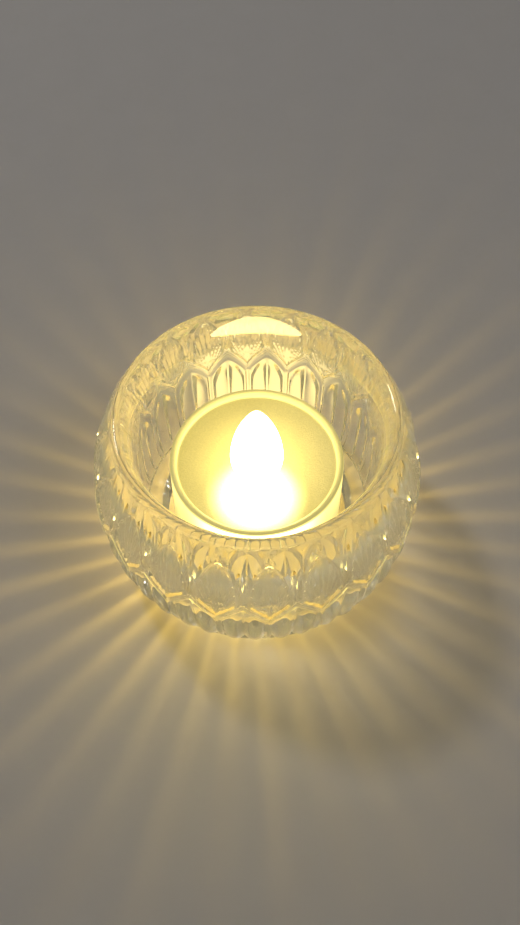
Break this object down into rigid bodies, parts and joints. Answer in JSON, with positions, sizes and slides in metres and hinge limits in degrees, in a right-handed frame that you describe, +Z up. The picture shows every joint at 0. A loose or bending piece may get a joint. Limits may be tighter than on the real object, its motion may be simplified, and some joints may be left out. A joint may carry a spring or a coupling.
{
  "type": "tealight holder",
  "caption": "Squat clear pressed glass tealight holder with a leaf and petal relief, holding a lift-out battery LED tealight with a flame bulb, slide switch and twist battery cap.",
  "frame": {"origin": "middle of the glass holder's underside, on the surface it stands on", "axes": "+Z up, the axis of the holder and of the candle; +Y to the back, on the switch's side of the candle; -Y to the front"},
  "size_m": [0.07, 0.07, 0.0431],
  "materials": {
    "clear_glass": "clear, fire polished",
    "ivory_plastic": "fine spark texture",
    "flame_plastic": "satin, translucent",
    "lamp_lens": "clear epoxy",
    "inner_plastic": "plain moulded",
    "steel": "nickel plated",
    "contact_metal": "stamped spring brass"
  },
  "bodies": {
    "holder": {"glass_holder": "clear_glass"},
    "candle": {"candle_shell": "ivory_plastic", "flame_bulb": "flame_plastic", "led_lens": "lamp_lens", "led_lead_anode": "steel", "led_lead_cathode": "steel", "led_holder": "inner_plastic", "coin_cell": "steel", "positive_contact": "contact_metal", "base_cover": "ivory_plastic"},
    "switch": {"switch_knob": "inner_plastic", "switch_contact": "contact_metal"},
    "cap": {"battery_cap": "ivory_plastic"}
  },
  "joints": [
    {"name": "candle_lift", "type": "slide", "parent": "holder", "child": "candle", "axis": [0, 0, 1], "range_m": [0, 0.06]},
    {"name": "switch_slide", "type": "slide", "parent": "candle", "child": "switch", "axis": [-1, 0, 0], "range_m": [0, 0.002]},
    {"name": "battery_cap_turn", "type": "hinge", "parent": "candle", "child": "cap", "pos_m": [0, 0, 0.009], "axis": [0, 0, 1], "range_deg": [0, 50]}
  ]
}
